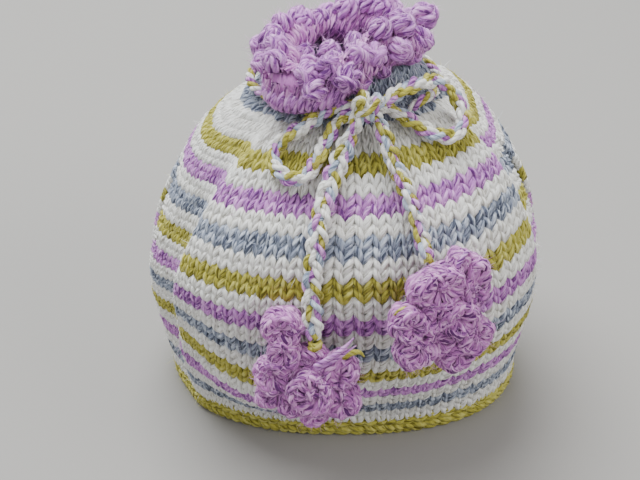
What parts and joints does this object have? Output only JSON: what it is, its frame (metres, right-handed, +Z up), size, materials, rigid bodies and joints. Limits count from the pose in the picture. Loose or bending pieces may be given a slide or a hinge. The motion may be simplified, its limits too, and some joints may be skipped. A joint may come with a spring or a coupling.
{
  "type": "tea cosy",
  "caption": "Hand-knitted striped tea cosy with side slits, a gathered neck under a lilac bobble frill, a plaited cord bow and crocheted flowers on the cord's tails.",
  "frame": {"origin": "centre of the cover's box in plan, at the bottom of the hem", "axes": "+Z up, -Y the front with the bow and flowers, -X the spout slit, +X the handle slit"},
  "size_m": [0.167, 0.1663, 0.1749],
  "materials": {
    "striped_wool": "matt knitted wool",
    "lilac_wool": "matt crocheted wool",
    "cord_wool": "matt plaited wool"
  },
  "bodies": {
    "root": {"body": "striped_wool", "frill_edging": "lilac_wool", "tie_band": "cord_wool", "knot": "cord_wool", "loop_left": "cord_wool", "loop_right": "cord_wool", "tail_left": "cord_wool", "tail_right": "cord_wool", "flower_left": "lilac_wool", "flower_right": "lilac_wool"}
  },
  "joints": []
}
